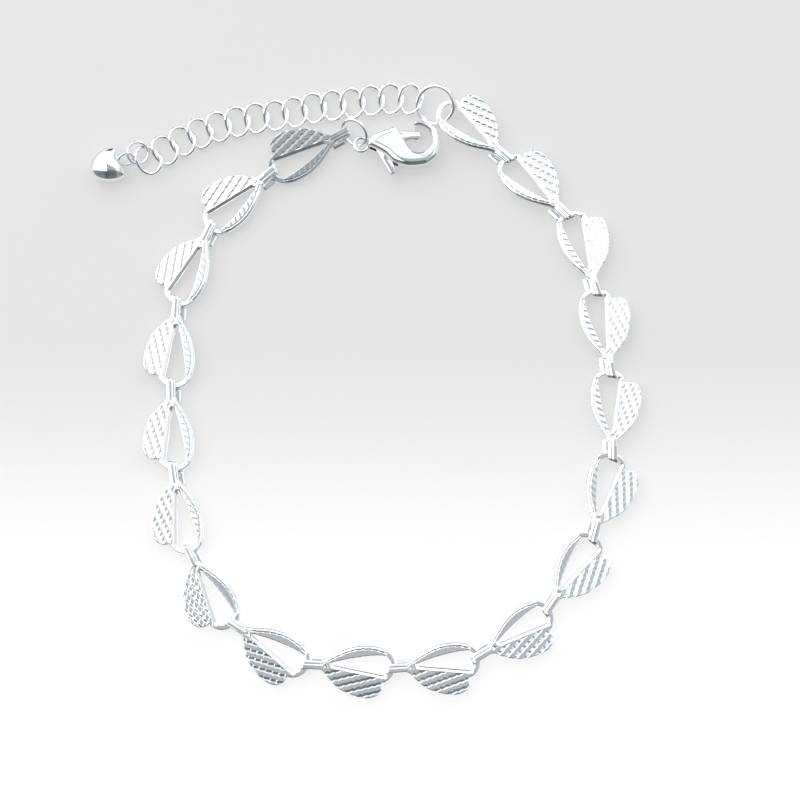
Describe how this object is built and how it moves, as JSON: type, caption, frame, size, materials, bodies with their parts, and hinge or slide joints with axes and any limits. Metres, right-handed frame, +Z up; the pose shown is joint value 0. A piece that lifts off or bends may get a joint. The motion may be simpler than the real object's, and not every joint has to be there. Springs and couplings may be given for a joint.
{
  "type": "leaf-link bracelet",
  "caption": "Wrist bracelet of flat leaf-shaped links folded over one another, with a lobster clasp, a round end ring, a short extender chain and a puffed heart drop, laid in an open loop.",
  "frame": {"origin": "under the middle of the bounding box, on the surface that the bracelet lies on", "axes": "+Z up from that surface; +Y from the loop's lower side towards the clasp; +X to the loop's side away from the extender's free end"},
  "size_m": [0.0668, 0.0752, 0.0026],
  "materials": {
    "textured_silver": "bright silver plate with pressed ribs and cross notches",
    "chain_silver": "bright silver plate on fine wire",
    "ring_silver": "bright silver plate on round wire",
    "clasp_silver": "polished silver plate on a cast clasp",
    "mirror_silver": "mirror-polished silver plate"
  },
  "bodies": {
    "bracelet": {"leaf_link_01": "textured_silver", "leaf_link_02": "textured_silver", "leaf_link_03": "textured_silver", "leaf_link_04": "textured_silver", "leaf_link_05": "textured_silver", "leaf_link_06": "textured_silver", "leaf_link_07": "textured_silver", "leaf_link_08": "textured_silver", "leaf_link_09": "textured_silver", "leaf_link_10": "textured_silver", "leaf_link_11": "textured_silver", "leaf_link_12": "textured_silver", "leaf_link_13": "textured_silver", "leaf_link_14": "textured_silver", "leaf_link_15": "textured_silver", "leaf_link_16": "textured_silver", "leaf_link_17": "textured_silver", "leaf_link_18": "textured_silver", "extender_ring_01": "chain_silver", "extender_ring_02": "chain_silver", "extender_ring_03": "chain_silver", "extender_ring_04": "chain_silver", "extender_ring_05": "chain_silver", "extender_ring_06": "chain_silver", "extender_ring_07": "chain_silver", "extender_ring_08": "chain_silver", "extender_ring_09": "chain_silver", "extender_ring_10": "chain_silver", "extender_ring_11": "chain_silver", "extender_ring_12": "chain_silver", "extender_ring_13": "chain_silver", "extender_ring_14": "chain_silver", "extender_ring_15": "chain_silver", "end_ring": "ring_silver", "clasp_ring": "ring_silver", "heart_ring": "ring_silver", "clasp_body": "clasp_silver", "heart_charm": "mirror_silver"},
    "lever": {"clasp_lever": "clasp_silver"}
  },
  "joints": [
    {"name": "clasp_lever_hinge", "type": "hinge", "parent": "bracelet", "child": "lever", "pos_m": [0.00325, 0.02872, 0.00115], "axis": [0, 0, -1], "range_deg": [0, 22], "stiffness_Nm_per_rad": 0.002, "springref_deg": -20.05}
  ]
}
